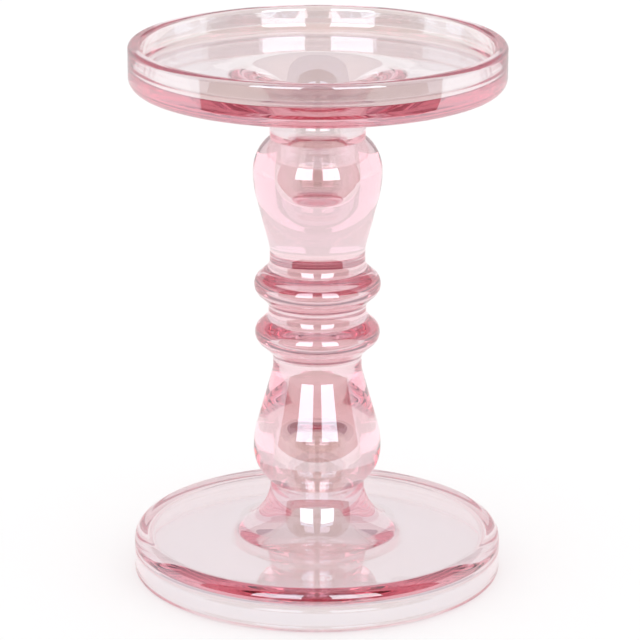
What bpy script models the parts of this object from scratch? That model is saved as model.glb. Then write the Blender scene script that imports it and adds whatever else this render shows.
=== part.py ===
"""Reversible pressed-glass pillar candlestick in lustred rose glass.

Six turned glass sections stand on one axis, joined at flat ground faces:
foot plate, lower baluster, lower ring, upper ring, upper baluster, candle dish.
The dish is the foot turned over, so either end can hold the candle.
Metres, +Z up, origin at the centre of the plane the foot stands on.
"""

import math

import bpy

MM = 0.001

# ---------------------------------------------------------------- dimensions
HEIGHT = 150.0 * MM  # foot's standing face to the dish's lip
JOINT_GAP = 0.3 * MM  # left open between two joined faces
STEPS = 36  # facets round the axis

# dish and foot: one pressing, used both ways up
PLATE_R = 51.2 * MM  # outer radius
PLATE_H = 12.0 * MM  # lip to the plate's far face
RECESS_D = 7.0 * MM  # depth of the recess inside the rim
RIM_T = 3.5 * MM  # wall of the rim
LIP_FILLET = 1.2 * MM  # rounding of the rim's lip
PLATE_FILLET = 3.3 * MM  # rounding where the wall meets the plate's far face
RECESS_FILLET = 2.5 * MM  # rounding between rim wall and recess floor

# collar that carries the plate, spreading into it
COLLAR_R = 13.05 * MM
COLLAR_END = 25.0 * MM  # joint plane of the collar, from the near end
FLARE_SPREAD = 12.0 * MM  # how much wider the collar is where it runs out in the plate
FLARE_POWER = 1.9  # fullness of the sweep: 2 an ellipse, 1 a straight cone

# blind hollow that opens into each recess
FUNNEL_R = 20.5 * MM  # mouth, in the recess floor
FUNNEL_H = 10.0 * MM
HOLLOW_MOUTH_R = 8.15 * MM  # just under the funnel
HOLLOW_R = 7.9 * MM  # just above the domed end
HOLLOW_D = 36.0 * MM  # recess floor to the end's tip
DOME_H = 7.0 * MM  # height of the domed end
DOME_POWER = 0.6  # squareness of its edge: 1 an ellipse

# balusters
BELLY_R = 17.7 * MM
BELLY_END = 35.5 * MM  # widest level, from the near end
SHOULDER_R = 12.0 * MM  # arc from the belly to the collar
FLANK_START = 39.1 * MM  # where the tapering flank would leave the belly
BELLY_FILLET = 25.0 * MM
NECK_FILLET = 12.0 * MM
UPPER_NECK_R = 13.13 * MM
UPPER_FLANK_END = 56.8 * MM  # where the flank would reach the neck
UPPER_NECK_END = 60.0 * MM  # joint plane of the neck, from the near end
LOWER_NECK_R = 12.25 * MM
LOWER_FLANK_END = 58.4 * MM
LOWER_NECK_END = 60.5 * MM

# rings and the waist between them
WAIST_R = 13.45 * MM
WAIST_Z = 75.65 * MM
UPPER_RING_R = 17.42 * MM
UPPER_RING_Z = 82.65 * MM
LOWER_RING_R = 17.22 * MM
LOWER_RING_Z = 68.85 * MM
RING_LAND = 3.2 * MM  # width of the nose before it is rounded
RING_SLOPE = math.radians(48.0)  # flank, from the axis
NOSE_FILLET = 3.5 * MM
NECK_ROOT = 3.8 * MM
WAIST_ROOT = 3.6 * MM

# rose glass: colour, roughness
GLASS_COLOR = (0.93, 0.62, 0.66, 1.0)
GLASS_ROUGHNESS = 0.02


# ------------------------------------------------------------ profile helpers
def rounded(corners, steps):
    """Straight runs through corners (r, z, fillet), each inner corner replaced by an arc of its fillet radius."""
    path = []
    for i, (r, z, fillet) in enumerate(corners):
        if fillet <= 0:
            path.append((r, z))
            continue
        before, after = corners[i - 1], corners[i + 1]
        ax, az = before[0] - r, before[1] - z
        bx, bz = after[0] - r, after[1] - z
        la, lb = math.hypot(ax, az), math.hypot(bx, bz)
        ax, az, bx, bz = ax / la, az / la, bx / lb, bz / lb
        half = math.acos(ax * bx + az * bz) / 2
        reach = min(
            fillet / math.tan(half),
            (0.49 if before[2] > 0 else 0.98) * la,
            (0.49 if after[2] > 0 else 0.98) * lb,
        )
        radius = reach * math.tan(half)
        mid = math.hypot(ax + bx, az + bz)
        cx = r + (ax + bx) / mid * radius / math.sin(half)
        cz = z + (az + bz) / mid * radius / math.sin(half)
        start = math.atan2(z + az * reach - cz, r + ax * reach - cx)
        end = math.atan2(z + bz * reach - cz, r + bx * reach - cx)
        turn = (end - start + math.pi) % (2 * math.pi) - math.pi
        for k in range(steps + 1):
            a = start + turn * k / steps
            path.append((cx + radius * math.cos(a), cz + radius * math.sin(a)))
    return path


def spread(joint, under, steps):
    """Outer side of the collar, level where it leaves the plate's far face and upright at the joint plane."""
    path = []
    for k in range(steps + 1):
        a = math.pi / 2 * k / steps
        out = 1 - math.sin(a) ** (2 / FLARE_POWER)
        down = 1 - math.cos(a) ** (2 / FLARE_POWER)
        path.append((COLLAR_R + FLARE_SPREAD * out, under - (under - joint) * down))
    return path


def quarter(r0, z0, r1, z1, steps):
    """Quarter ellipse between two points, upright at the first and level at the second."""
    path = []
    for k in range(steps + 1):
        a = math.pi / 2 * k / steps
        path.append((r0 + (r1 - r0) * (1 - math.cos(a)), z0 + (z1 - z0) * math.sin(a)))
    return path


def hollow_radius(depth):
    """Radius of the blind hollow at a depth below the recess floor, from the funnel to the domed end."""
    t = (depth - FUNNEL_H) / (HOLLOW_D - DOME_H - FUNNEL_H)
    return HOLLOW_MOUTH_R + (HOLLOW_R - HOLLOW_MOUTH_R) * t


def dome(tip, steps):
    """Domed end of the hollow, from its tip on the axis out to the wall."""
    path = []
    for k in range(steps + 1):
        a = math.pi / 2 * k / steps
        path.append((HOLLOW_R * math.sin(a) ** DOME_POWER, tip + DOME_H * (1 - math.cos(a))))
    return path


def turned_over(path):
    """The same outline at the other end of the object, still running down its outer side."""
    return [(r, HEIGHT - z) for r, z in reversed(path)]


# ------------------------------------------------------------------- profiles
def dish_outline():
    """Closed section of the dish: lip, outer wall, underside, flare, collar, then up the hollow and the funnel to the floor."""
    under, floor = HEIGHT - PLATE_H, HEIGHT - RECESS_D
    joint = HEIGHT - COLLAR_END + JOINT_GAP / 2
    lip_r, inner_r = PLATE_R - RIM_T / 2, PLATE_R - RIM_T
    outer = rounded(
        [
            (lip_r, HEIGHT, 0),
            (PLATE_R, HEIGHT, LIP_FILLET),
            (PLATE_R, under, PLATE_FILLET),
            (COLLAR_R + FLARE_SPREAD + 6 * MM, under, 0),
        ],
        2,
    )
    flare = spread(joint, under, 8)
    funnel = quarter(HOLLOW_MOUTH_R, floor - FUNNEL_H, FUNNEL_R, floor, 6)
    funnel.insert(0, (hollow_radius(floor - joint), joint))
    inner = rounded(
        [
            (FUNNEL_R + 6 * MM, floor, 0),
            (inner_r, floor, RECESS_FILLET),
            (inner_r, HEIGHT, LIP_FILLET),
            (lip_r, HEIGHT, 0),
        ],
        2,
    )
    return outer + flare + funnel + inner[:-1]


def baluster_outline(neck_r, neck_end, flank_end):
    """Section of the upper baluster, from the tip of the hollow's domed end up its wall, over the joint face and down the outside to the neck's joint."""
    floor = HEIGHT - RECESS_D
    joint = HEIGHT - COLLAR_END - JOINT_GAP / 2
    belly_z, neck_z = HEIGHT - BELLY_END, HEIGHT - neck_end + JOINT_GAP / 2
    tip = floor - HOLLOW_D
    hollow = dome(tip, 6) + [(hollow_radius(floor - joint), joint)]
    sweep = math.acos(1 - (BELLY_R - COLLAR_R) / SHOULDER_R)
    shoulder = [
        (
            BELLY_R - SHOULDER_R * (1 - math.cos(sweep * k / 5)),
            belly_z + SHOULDER_R * math.sin(sweep * k / 5),
        )
        for k in range(5, 0, -1)
    ]
    body = rounded(
        [
            (BELLY_R, belly_z, 0),
            (BELLY_R, HEIGHT - FLANK_START, BELLY_FILLET),
            (neck_r, HEIGHT - flank_end, NECK_FILLET),
            (neck_r, neck_z, 0),
        ],
        3,
    )
    return hollow + [(COLLAR_R, joint)] + shoulder + body + [(0.0, neck_z)]


def ring_outline(ring_r, ring_z, above, below):
    """Section of a ring with straight flanks and a rounded nose, between two roots given as (radius, joint plane, rounding)."""
    top, low = ring_z + RING_LAND / 2, ring_z - RING_LAND / 2
    slope = math.tan(RING_SLOPE)
    above_z, below_z = above[1] - JOINT_GAP / 2, below[1] + JOINT_GAP / 2
    side = rounded(
        [
            (above[0], above_z, 0),
            (above[0], top + (ring_r - above[0]) / slope, above[2]),
            (ring_r, top, NOSE_FILLET),
            (ring_r, low, NOSE_FILLET),
            (below[0], low - (ring_r - below[0]) / slope, below[2]),
            (below[0], below_z, 0),
        ],
        3,
    )
    return [(0.0, above_z)] + side + [(0.0, below_z)]


# ------------------------------------------------------------------- building
def glass_material(name):
    material = bpy.data.materials.new(name)
    material.use_nodes = True
    shader = material.node_tree.nodes["Principled BSDF"]
    shader.inputs["Base Color"].default_value = GLASS_COLOR
    shader.inputs["Roughness"].default_value = GLASS_ROUGHNESS
    shader.inputs["Metallic"].default_value = 0.0
    shader.inputs["IOR"].default_value = 1.5
    shader.inputs["Transmission Weight"].default_value = 1.0
    material.diffuse_color = GLASS_COLOR
    return material


def turned(name, outline, closed, collection):
    """A solid of revolution about Z. A closed outline makes a ring with a hole; an open one has both its ends on the axis."""
    mesh = bpy.data.meshes.new(name)
    edges = [(i, i + 1) for i in range(len(outline) - 1)]
    if closed:
        edges.append((len(outline) - 1, 0))
    mesh.from_pydata([(r, 0.0, z) for r, z in outline], edges, [])
    piece = bpy.data.objects.new(name, mesh)
    collection.objects.link(piece)
    screw = piece.modifiers.new("Turn", "SCREW")
    screw.axis = "Z"
    screw.angle = 2 * math.pi
    screw.steps = STEPS
    screw.render_steps = STEPS
    screw.use_merge_vertices = True
    screw.merge_threshold = 0.00001
    screw.use_smooth_shade = True
    piece.data.materials.append(glass_material("rose_glass_" + name))
    return piece


def main():
    for old in list(bpy.data.objects):
        bpy.data.objects.remove(old, do_unlink=True)
    candlestick = bpy.data.collections.new("glass_candlestick")
    bpy.context.scene.collection.children.link(candlestick)

    axis = bpy.data.objects.new("axis", None)
    axis.empty_display_size = HEIGHT / 2
    candlestick.objects.link(axis)

    dish = dish_outline()
    upper = baluster_outline(UPPER_NECK_R, UPPER_NECK_END, UPPER_FLANK_END)
    lower = baluster_outline(LOWER_NECK_R, LOWER_NECK_END, LOWER_FLANK_END)
    upper_neck = (UPPER_NECK_R, HEIGHT - UPPER_NECK_END, NECK_ROOT)
    waist = (WAIST_R, WAIST_Z, WAIST_ROOT)
    lower_neck = (LOWER_NECK_R, LOWER_NECK_END, NECK_ROOT)
    upper_ring = ring_outline(UPPER_RING_R, UPPER_RING_Z, upper_neck, waist)
    lower_ring = ring_outline(LOWER_RING_R, LOWER_RING_Z, waist, lower_neck)
    pieces = [
        turned("candle_dish", dish, True, candlestick),
        turned("upper_baluster", upper, False, candlestick),
        turned("upper_ring", upper_ring, False, candlestick),
        turned("lower_ring", lower_ring, False, candlestick),
        turned("lower_baluster", turned_over(lower), False, candlestick),
        turned("foot_plate", turned_over(dish), True, candlestick),
    ]
    for piece in pieces:
        piece.parent = axis


main()
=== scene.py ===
import math

import bmesh
import bpy
import numpy as np
from mathutils import Matrix, Vector


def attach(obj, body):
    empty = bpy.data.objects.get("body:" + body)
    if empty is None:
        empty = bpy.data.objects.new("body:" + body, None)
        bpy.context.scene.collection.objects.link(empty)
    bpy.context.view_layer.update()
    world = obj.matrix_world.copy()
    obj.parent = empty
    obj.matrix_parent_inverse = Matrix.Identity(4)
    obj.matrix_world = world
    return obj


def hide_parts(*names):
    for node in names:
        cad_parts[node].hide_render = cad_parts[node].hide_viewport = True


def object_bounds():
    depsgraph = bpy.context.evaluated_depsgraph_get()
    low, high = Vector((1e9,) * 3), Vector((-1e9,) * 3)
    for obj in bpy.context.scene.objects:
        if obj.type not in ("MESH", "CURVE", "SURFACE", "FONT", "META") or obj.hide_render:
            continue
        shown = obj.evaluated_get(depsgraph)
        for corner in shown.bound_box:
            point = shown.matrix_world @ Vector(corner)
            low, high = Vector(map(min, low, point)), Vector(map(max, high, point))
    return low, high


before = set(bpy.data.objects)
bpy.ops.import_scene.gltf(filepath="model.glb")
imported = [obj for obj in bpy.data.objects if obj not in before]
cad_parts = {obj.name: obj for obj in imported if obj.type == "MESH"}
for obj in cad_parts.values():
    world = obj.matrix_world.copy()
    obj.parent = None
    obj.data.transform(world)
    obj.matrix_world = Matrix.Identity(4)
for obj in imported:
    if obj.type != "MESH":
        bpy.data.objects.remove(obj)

MM = 0.001
CAD_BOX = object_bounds()
LOW, HIGH = [list(map(float, corner)) for corner in CAD_BOX]
HEIGHT = HIGH[2] - LOW[2]

# ---------------------------------------------------------------- glass sections
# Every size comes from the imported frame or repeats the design's own constants.
PLATE_R = (HIGH[0] - LOW[0]) / 2
PLATE_H, RECESS_D, RIM_T = 12.0 * MM, 7.0 * MM, 3.5 * MM
LIP_FILLET, PLATE_FILLET, RECESS_FILLET = 1.2 * MM, 3.3 * MM, 2.5 * MM
COLLAR_R, COLLAR_END = 13.05 * MM, 25.0 * MM
FLARE_SPREAD, FLARE_POWER = 12.0 * MM, 1.9
FUNNEL_R, FUNNEL_H = 20.5 * MM, 10.0 * MM
HOLLOW_MOUTH_R, HOLLOW_R, HOLLOW_D = 8.15 * MM, 7.9 * MM, 36.0 * MM
DOME_H, DOME_POWER = 7.0 * MM, 0.6
BELLY_R, BELLY_END, SHOULDER_R = 17.7 * MM, 35.5 * MM, 12.0 * MM
FLANK_START, BELLY_FILLET, NECK_FILLET = 39.1 * MM, 25.0 * MM, 12.0 * MM
UPPER_NECK_R, UPPER_FLANK_END, UPPER_NECK_END = 13.13 * MM, 56.8 * MM, 60.0 * MM
LOWER_NECK_R, LOWER_FLANK_END, LOWER_NECK_END = 12.25 * MM, 58.4 * MM, 60.5 * MM
WAIST_R, WAIST_Z = 13.45 * MM, 75.65 * MM
UPPER_RING_R, UPPER_RING_Z = 17.42 * MM, 82.65 * MM
LOWER_RING_R, LOWER_RING_Z = 17.22 * MM, 68.85 * MM
RING_LAND, RING_SLOPE = 3.2 * MM, math.radians(48.0)
NOSE_FILLET, NECK_ROOT, WAIST_ROOT = 3.5 * MM, 3.8 * MM, 3.6 * MM

JOINT_GAP = 0.02 * MM    # ground faces this close read as one optical body
TURN = 256               # facets round the axis
FINE = 10                # facets in each rounding


def rounded(corners, steps):
    """Straight runs through corners (r, z, fillet), each inner corner replaced by an arc."""
    path = []
    for i, (r, z, fillet) in enumerate(corners):
        if fillet <= 0:
            path.append((r, z))
            continue
        before, after = corners[i - 1], corners[i + 1]
        ax, az = before[0] - r, before[1] - z
        bx, bz = after[0] - r, after[1] - z
        la, lb = math.hypot(ax, az), math.hypot(bx, bz)
        ax, az, bx, bz = ax / la, az / la, bx / lb, bz / lb
        half = math.acos(ax * bx + az * bz) / 2
        reach = min(
            fillet / math.tan(half),
            (0.49 if before[2] > 0 else 0.98) * la,
            (0.49 if after[2] > 0 else 0.98) * lb,
        )
        radius = reach * math.tan(half)
        mid = math.hypot(ax + bx, az + bz)
        cx = r + (ax + bx) / mid * radius / math.sin(half)
        cz = z + (az + bz) / mid * radius / math.sin(half)
        start = math.atan2(z + az * reach - cz, r + ax * reach - cx)
        end = math.atan2(z + bz * reach - cz, r + bx * reach - cx)
        turn = (end - start + math.pi) % (2 * math.pi) - math.pi
        for k in range(steps + 1):
            a = start + turn * k / steps
            path.append((cx + radius * math.cos(a), cz + radius * math.sin(a)))
    return path


def spread(joint, under, steps):
    """Outer side of the collar, level where it leaves the plate's far face and upright at the joint plane."""
    path = []
    for k in range(steps + 1):
        a = math.pi / 2 * k / steps
        out = 1 - math.sin(a) ** (2 / FLARE_POWER)
        down = 1 - math.cos(a) ** (2 / FLARE_POWER)
        path.append((COLLAR_R + FLARE_SPREAD * out, under - (under - joint) * down))
    return path


def quarter(r0, z0, r1, z1, steps):
    """Quarter ellipse between two points, upright at the first and level at the second."""
    path = []
    for k in range(steps + 1):
        a = math.pi / 2 * k / steps
        path.append((r0 + (r1 - r0) * (1 - math.cos(a)), z0 + (z1 - z0) * math.sin(a)))
    return path


def hollow_radius(depth):
    """Radius of the blind hollow at a depth below the recess floor, from the funnel to the domed end."""
    t = (depth - FUNNEL_H) / (HOLLOW_D - DOME_H - FUNNEL_H)
    return HOLLOW_MOUTH_R + (HOLLOW_R - HOLLOW_MOUTH_R) * t


def dome(tip, steps):
    """Domed end of the hollow, from its tip on the axis out to the wall."""
    path = []
    for k in range(steps + 1):
        a = math.pi / 2 * k / steps
        path.append((HOLLOW_R * math.sin(a) ** DOME_POWER, tip + DOME_H * (1 - math.cos(a))))
    return path


def turned_over(path):
    return [(r, HEIGHT - z) for r, z in reversed(path)]


def dish_outline():
    under, floor = HEIGHT - PLATE_H, HEIGHT - RECESS_D
    joint = HEIGHT - COLLAR_END + JOINT_GAP / 2
    lip_r, inner_r = PLATE_R - RIM_T / 2, PLATE_R - RIM_T
    outer = rounded(
        [(lip_r, HEIGHT, 0), (PLATE_R, HEIGHT, LIP_FILLET), (PLATE_R, under, PLATE_FILLET), (COLLAR_R + FLARE_SPREAD + 6 * MM, under, 0)],
        FINE,
    )
    flare = spread(joint, under, 32)
    funnel = quarter(HOLLOW_MOUTH_R, floor - FUNNEL_H, FUNNEL_R, floor, 28)
    funnel.insert(0, (hollow_radius(floor - joint), joint))
    inner = rounded(
        [(FUNNEL_R + 6 * MM, floor, 0), (inner_r, floor, RECESS_FILLET), (inner_r, HEIGHT, LIP_FILLET), (lip_r, HEIGHT, 0)],
        FINE,
    )
    return outer + flare + funnel + inner[:-1]


def baluster_outline(neck_r, neck_end, flank_end):
    floor = HEIGHT - RECESS_D
    joint = HEIGHT - COLLAR_END - JOINT_GAP / 2
    belly_z, neck_z = HEIGHT - BELLY_END, HEIGHT - neck_end + JOINT_GAP / 2
    tip = floor - HOLLOW_D
    hollow = dome(tip, 30) + [(hollow_radius(floor - joint), joint)]
    sweep = math.acos(1 - (BELLY_R - COLLAR_R) / SHOULDER_R)
    shoulder = [
        (BELLY_R - SHOULDER_R * (1 - math.cos(sweep * k / 28)), belly_z + SHOULDER_R * math.sin(sweep * k / 28))
        for k in range(28, 0, -1)
    ]
    body = rounded(
        [
            (BELLY_R, belly_z, 0),
            (BELLY_R, HEIGHT - FLANK_START, BELLY_FILLET),
            (neck_r, HEIGHT - flank_end, NECK_FILLET),
            (neck_r, neck_z, 0),
        ],
        FINE,
    )
    return hollow + [(COLLAR_R, joint)] + shoulder + body + [(0.0, neck_z)]


def ring_outline(ring_r, ring_z, above, below):
    top, low = ring_z + RING_LAND / 2, ring_z - RING_LAND / 2
    slope = math.tan(RING_SLOPE)
    above_z, below_z = above[1] - JOINT_GAP / 2, below[1] + JOINT_GAP / 2
    side = rounded(
        [
            (above[0], above_z, 0),
            (above[0], top + (ring_r - above[0]) / slope, above[2]),
            (ring_r, top, NOSE_FILLET),
            (ring_r, low, NOSE_FILLET),
            (below[0], low - (ring_r - below[0]) / slope, below[2]),
            (below[0], below_z, 0),
        ],
        FINE,
    )
    return [(0.0, above_z)] + side + [(0.0, below_z)]


JOINTS = [HEIGHT - COLLAR_END, HEIGHT - UPPER_NECK_END, WAIST_Z, LOWER_NECK_END, COLLAR_END]


def turned(name, outline, closed, material):
    """A solid of revolution, as a finished mesh with its ground joint faces marked."""
    mesh = bpy.data.meshes.new(name)
    edges = [(i, i + 1) for i in range(len(outline) - 1)]
    if closed:
        edges.append((len(outline) - 1, 0))
    mesh.from_pydata([(r, 0.0, z) for r, z in outline], edges, [])
    piece = bpy.data.objects.new(name + "_glass", mesh)
    bpy.context.scene.collection.objects.link(piece)
    screw = piece.modifiers.new("Turn", "SCREW")
    screw.axis = "Z"
    screw.steps = screw.render_steps = TURN
    screw.use_merge_vertices = True
    screw.merge_threshold = 0.000002
    screw.use_smooth_shade = True
    bpy.context.view_layer.update()
    done = bpy.data.meshes.new_from_object(piece.evaluated_get(bpy.context.evaluated_depsgraph_get()))
    piece.modifiers.clear()
    piece.data = done
    done.name = name + "_glass"
    bpy.data.meshes.remove(mesh)
    done.materials.clear()
    done.materials.append(material)
    for face in done.polygons:
        face.use_smooth = True
    done.set_sharp_from_angle(angle=math.radians(35))
    joint = done.attributes.new("joint", "FLOAT", "FACE")
    z = np.empty(len(done.vertices) * 3, np.float32)
    done.vertices.foreach_get("co", z)
    z = z.reshape(-1, 3)[:, 2]
    marks = [
        1.0 if any(all(abs(z[v] - j) < 0.6 * JOINT_GAP for v in face.vertices) for j in JOINTS) else 0.0
        for face in done.polygons
    ]
    joint.data.foreach_set("value", np.array(marks, np.float32))
    return piece


# ---------------------------------------------------------------- glass material
def rose_glass():
    """Rose glass coloured through its depth, with a thin lustre film on every free face."""
    mat = bpy.data.materials.new("rose_lustre_glass")
    mat.use_nodes = True
    nt = mat.node_tree
    nt.nodes.clear()
    new = nt.nodes.new
    out = new("ShaderNodeOutputMaterial")
    p = new("ShaderNodeBsdfPrincipled")
    p.inputs["Base Color"].default_value = (1, 1, 1, 1)
    p.inputs["Roughness"].default_value = 0.0
    p.inputs["IOR"].default_value = 1.5
    p.inputs["Transmission Weight"].default_value = 1.0
    p.inputs["Thin Film IOR"].default_value = 2.2
    coords = new("ShaderNodeTexCoord")
    # lustre film, a little uneven
    drift = new("ShaderNodeTexNoise")
    drift.inputs["Scale"].default_value = 28.0
    drift.inputs["Detail"].default_value = 2.0
    nt.links.new(coords.outputs["Object"], drift.inputs["Vector"])
    film = new("ShaderNodeMapRange")
    film.inputs["From Min"].default_value = 0.3
    film.inputs["From Max"].default_value = 0.7
    film.inputs["To Min"].default_value = FILM[0]
    film.inputs["To Max"].default_value = FILM[1]
    nt.links.new(drift.outputs["Fac"], film.inputs["Value"])
    # ripple of the pressed skin
    ripple = new("ShaderNodeTexNoise")
    ripple.inputs["Scale"].default_value = 90.0
    ripple.inputs["Detail"].default_value = 1.0
    nt.links.new(coords.outputs["Object"], ripple.inputs["Vector"])
    bump = new("ShaderNodeBump")
    bump.inputs["Strength"].default_value = 1.0
    bump.inputs["Distance"].default_value = 0.00002
    nt.links.new(ripple.outputs["Fac"], bump.inputs["Height"])
    nt.links.new(bump.outputs["Normal"], p.inputs["Normal"])
    # ground joint faces are optically one with their neighbour: no step in index, no film
    joint = new("ShaderNodeAttribute")
    joint.attribute_name = "joint"
    index = new("ShaderNodeMapRange")
    index.inputs["To Min"].default_value = 1.5
    index.inputs["To Max"].default_value = 1.0
    nt.links.new(joint.outputs["Fac"], index.inputs["Value"])
    nt.links.new(index.outputs["Result"], p.inputs["IOR"])
    free = new("ShaderNodeMath")
    free.operation = "SUBTRACT"
    free.inputs[0].default_value = 1.0
    nt.links.new(joint.outputs["Fac"], free.inputs[1])
    skin = new("ShaderNodeMath")
    skin.operation = "MULTIPLY"
    nt.links.new(film.outputs["Result"], skin.inputs[0])
    nt.links.new(free.outputs["Value"], skin.inputs[1])
    nt.links.new(skin.outputs["Value"], p.inputs["Thin Film Thickness"])
    depth = new("ShaderNodeVolumeAbsorption")
    depth.inputs["Color"].default_value = (*ABSORB[0], 1)
    depth.inputs["Density"].default_value = ABSORB[1]
    nt.links.new(p.outputs["BSDF"], out.inputs["Surface"])
    nt.links.new(depth.outputs["Volume"], out.inputs["Volume"])
    return mat


FILM = (46.0, 58.0)                     # nm
ABSORB = ((0.94, 0.50, 0.60), 28.0)     # colour, density per metre

glass = rose_glass()
dish = dish_outline()
upper = baluster_outline(UPPER_NECK_R, UPPER_NECK_END, UPPER_FLANK_END)
lower = baluster_outline(LOWER_NECK_R, LOWER_NECK_END, LOWER_FLANK_END)
upper_neck = (UPPER_NECK_R, HEIGHT - UPPER_NECK_END, NECK_ROOT)
waist = (WAIST_R, WAIST_Z, WAIST_ROOT)
lower_neck = (LOWER_NECK_R, LOWER_NECK_END, NECK_ROOT)
pieces = {
    "candle_dish": turned("candle_dish", dish, True, glass),
    "upper_baluster": turned("upper_baluster", upper, False, glass),
    "upper_ring": turned("upper_ring", ring_outline(UPPER_RING_R, UPPER_RING_Z, upper_neck, waist), False, glass),
    "lower_ring": turned("lower_ring", ring_outline(LOWER_RING_R, LOWER_RING_Z, waist, lower_neck), False, glass),
    "lower_baluster": turned("lower_baluster", turned_over(lower), False, glass),
    "foot_plate": turned("foot_plate", turned_over(dish), True, glass),
}
for node, piece in pieces.items():
    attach(piece, "root")
    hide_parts(node)

# ---------------------------------------------------------------- stage
def flat(name, x0, x1, y0, y1, z, colour, glow):
    mesh = bpy.data.meshes.new(name)
    bm = bmesh.new()
    corners = [bm.verts.new(c) for c in ((x0, y0, z), (x1, y0, z), (x1, y1, z), (x0, y1, z))]
    bm.faces.new(corners)
    bm.to_mesh(mesh)
    bm.free()
    ob = bpy.data.objects.new(name, mesh)
    bpy.context.scene.collection.objects.link(ob)
    mat = bpy.data.materials.new(name)
    mat.use_nodes = True
    p = mat.node_tree.nodes["Principled BSDF"]
    p.inputs["Base Color"].default_value = (*colour, 1)
    p.inputs["Roughness"].default_value = 0.6
    p.inputs["Specular IOR Level"].default_value = 0.0
    p.inputs["Emission Color"].default_value = (1, 1, 1, 1)
    p.inputs["Emission Strength"].default_value = glow
    mat.cycles.emission_sampling = "NONE"
    mesh.materials.append(mat)
    return ob


FRONT = -0.15
GROUND = LOW[2] - 0.0002
floor = flat("floor", -3.0, 3.0, FRONT, 4.0, GROUND, (0.5, 0.5, 0.5), 0.5)
apron = flat("floor_front", -3.0, 3.0, -3.0, FRONT, GROUND, (0.5, 0.5, 0.5), 0.5)
apron.visible_glossy = False
apron.visible_transmission = False


def pane(name, x0, x1, z0, z1, colour):
    """Upright luminous pane facing the object, seen only in the glass."""
    mesh = bpy.data.meshes.new(name)
    bm = bmesh.new()
    corners = [bm.verts.new(c) for c in ((x0, PANE_Y, z0), (x1, PANE_Y, z0), (x1, PANE_Y, z1), (x0, PANE_Y, z1))]
    bm.faces.new(corners)
    bm.to_mesh(mesh)
    bm.free()
    ob = bpy.data.objects.new(name, mesh)
    bpy.context.scene.collection.objects.link(ob)
    mat = bpy.data.materials.new(name)
    mat.use_nodes = True
    nt = mat.node_tree
    nt.nodes.clear()
    light = nt.nodes.new("ShaderNodeEmission")
    light.inputs["Color"].default_value = (*colour, 1)
    out = nt.nodes.new("ShaderNodeOutputMaterial")
    nt.links.new(light.outputs[0], out.inputs["Surface"])
    mat.cycles.emission_sampling = "NONE"
    mesh.materials.append(mat)
    ob.visible_camera = False
    ob.visible_diffuse = False
    ob.visible_shadow = False


# ---------------------------------------------------------------- studio
# azimuths are in degrees round the axis, 0 straight towards the camera
OPENING = (75.5, 80.0)  # dark opening, left and right of the camera
OPEN_TOP = 22.0  # top of the white flanks beside it, degrees above the horizon
CARD_FROM = 110.0  # where the card round the back takes over from the flanks
CARD_R, CARD_H = 0.60, 0.325
WHITE = (0.88, 0.87, 0.88)
DARK = (0.19, 0.075, 0.08)
CEILING = (0.50, 0.42, 0.45)


def wall(name, radius, left, right, height, colour):
    """White card standing round the back, seen only in the glass."""
    mesh = bpy.data.meshes.new(name)
    bm = bmesh.new()
    turns = 72
    ring = []
    for k in range(turns + 1):
        a = math.radians(left + (360.0 - left - right) * k / turns)
        x, y = -radius * math.sin(a), -radius * math.cos(a)
        ring.append((bm.verts.new((x, y, GROUND)), bm.verts.new((x, y, height))))
    for (a0, a1), (b0, b1) in zip(ring, ring[1:]):
        bm.faces.new((a0, b0, b1, a1))
    bm.to_mesh(mesh)
    bm.free()
    ob = bpy.data.objects.new(name, mesh)
    bpy.context.scene.collection.objects.link(ob)
    mat = bpy.data.materials.new(name)
    mat.use_nodes = True
    nt = mat.node_tree
    nt.nodes.clear()
    light = nt.nodes.new("ShaderNodeEmission")
    light.inputs["Color"].default_value = (*colour, 1)
    out = nt.nodes.new("ShaderNodeOutputMaterial")
    nt.links.new(light.outputs[0], out.inputs["Surface"])
    mat.cycles.emission_sampling = "NONE"
    mesh.materials.append(mat)
    ob.visible_camera = False
    ob.visible_diffuse = False
    ob.visible_shadow = False


wall("card", CARD_R, CARD_FROM, CARD_FROM, CARD_H, WHITE)

PANE_Y = -0.48
PANE_X = (0.076, 0.39)
for side in (-1, 1):
    near, far = sorted((side * PANE_X[0], side * PANE_X[1]))
    hand = "left" if side < 0 else "right"
    pane("window_" + hand, near, far, 0.13, 0.52, (2.2, 2.2, 2.25))
    pane("fanlight_" + hand, near, far, 0.545, 0.66, (1.15, 1.1, 1.3))


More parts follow.
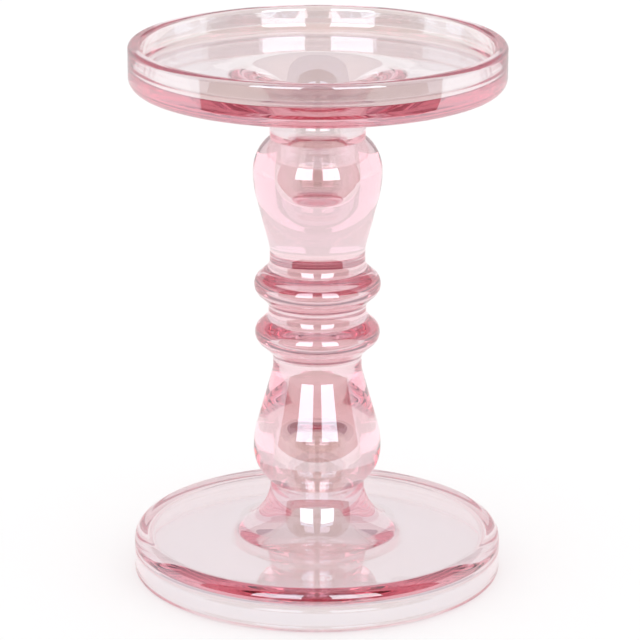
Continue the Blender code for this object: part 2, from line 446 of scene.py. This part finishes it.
def studio():
    """White surround with a dark opening in front and a dark ceiling."""
    world = bpy.data.worlds.new("studio")
    bpy.context.scene.world = world
    world.use_nodes = True
    nt = world.node_tree
    nt.nodes.clear()
    new = nt.nodes.new

    def link(a, b):
        nt.links.new(a, b)

    def maths(op, a, b=None, clamp=False):
        n = new("ShaderNodeMath")
        n.operation = op
        n.use_clamp = clamp
        for i, v in enumerate((a, b)):
            if v is None:
                continue
            if isinstance(v, (int, float)):
                n.inputs[i].default_value = v
            else:
                link(v, n.inputs[i])
        return n.outputs["Value"]

    def band(v, low, high, soft):
        """1 between low and high, with soft edges."""
        up = maths("DIVIDE", maths("SUBTRACT", v, low), soft, True)
        down = maths("DIVIDE", maths("SUBTRACT", high, v), soft, True)
        return maths("MULTIPLY", up, down)

    coords = new("ShaderNodeTexCoord")
    axes = new("ShaderNodeSeparateXYZ")
    link(coords.outputs["Generated"], axes.inputs[0])
    x, y, z = axes.outputs
    side = maths("MULTIPLY", maths("ARCTAN2", x, maths("MULTIPLY", y, -1.0)), 180 / math.pi)   # 0 straight towards -Y
    level = maths("MULTIPLY", maths("ARCSINE", z), 180 / math.pi)

    opening = maths("MULTIPLY", band(side, -OPENING[0], OPENING[1], 1.5), band(level, -28.0, 120.0, 2.0))
    flanks = band(side, -CARD_FROM - 1.0, CARD_FROM + 1.0, 1.0)
    above = maths("MAXIMUM", band(level, OPEN_TOP, 120.0, 2.0), maths("SUBTRACT", 1.0, flanks))

    def mixed(fac, a, b):
        m = new("ShaderNodeMix")
        m.data_type = "RGBA"
        link(fac, m.inputs["Factor"])
        for sock, v in ((m.inputs[6], a), (m.inputs[7], b)):
            if isinstance(v, tuple):
                sock.default_value = (*v, 1)
            else:
                link(v, sock)
        return m.outputs[2]

    light = mixed(opening, mixed(above, WHITE, CEILING), DARK)
    path = new("ShaderNodeLightPath")
    light = mixed(path.outputs["Is Camera Ray"], light, (1.0, 1.0, 1.0))
    light = mixed(path.outputs["Is Diffuse Ray"], light, (1.14, 1.14, 1.14))
    back = new("ShaderNodeBackground")
    link(light, back.inputs["Color"])
    out = new("ShaderNodeOutputWorld")
    link(back.outputs[0], out.inputs["Surface"])
    world.cycles.sampling_method = "MANUAL"
    world.cycles.sample_map_resolution = 1024


studio()

# ---------------------------------------------------------------- camera
cam = bpy.data.cameras.new("camera")
cam.sensor_width = 36.0
cam.lens = 182.68
cam.clip_start = 0.01
camera = bpy.data.objects.new("camera", cam)
bpy.context.scene.collection.objects.link(camera)
camera.matrix_world = (
    Matrix.Translation((0.000716, -0.8559, 0.3355))
    @ Matrix.Rotation(math.pi / 2 - 0.2987, 4, "X")
    @ Matrix.Rotation(0.0022, 4, "Z")
)
scene = bpy.context.scene
scene.camera = camera

scene.view_settings.view_transform = "Standard"
scene.view_settings.look = "None"
scene.cycles.max_bounces = 40
scene.cycles.transmission_bounces = 40
scene.cycles.glossy_bounces = 24
scene.cycles.transparent_max_bounces = 48
scene.cycles.volume_bounces = 0
scene.cycles.caustics_reflective = True
scene.cycles.caustics_refractive = True
scene.cycles.blur_glossy = 0.0
scene.cycles.sample_clamp_indirect = 6.0
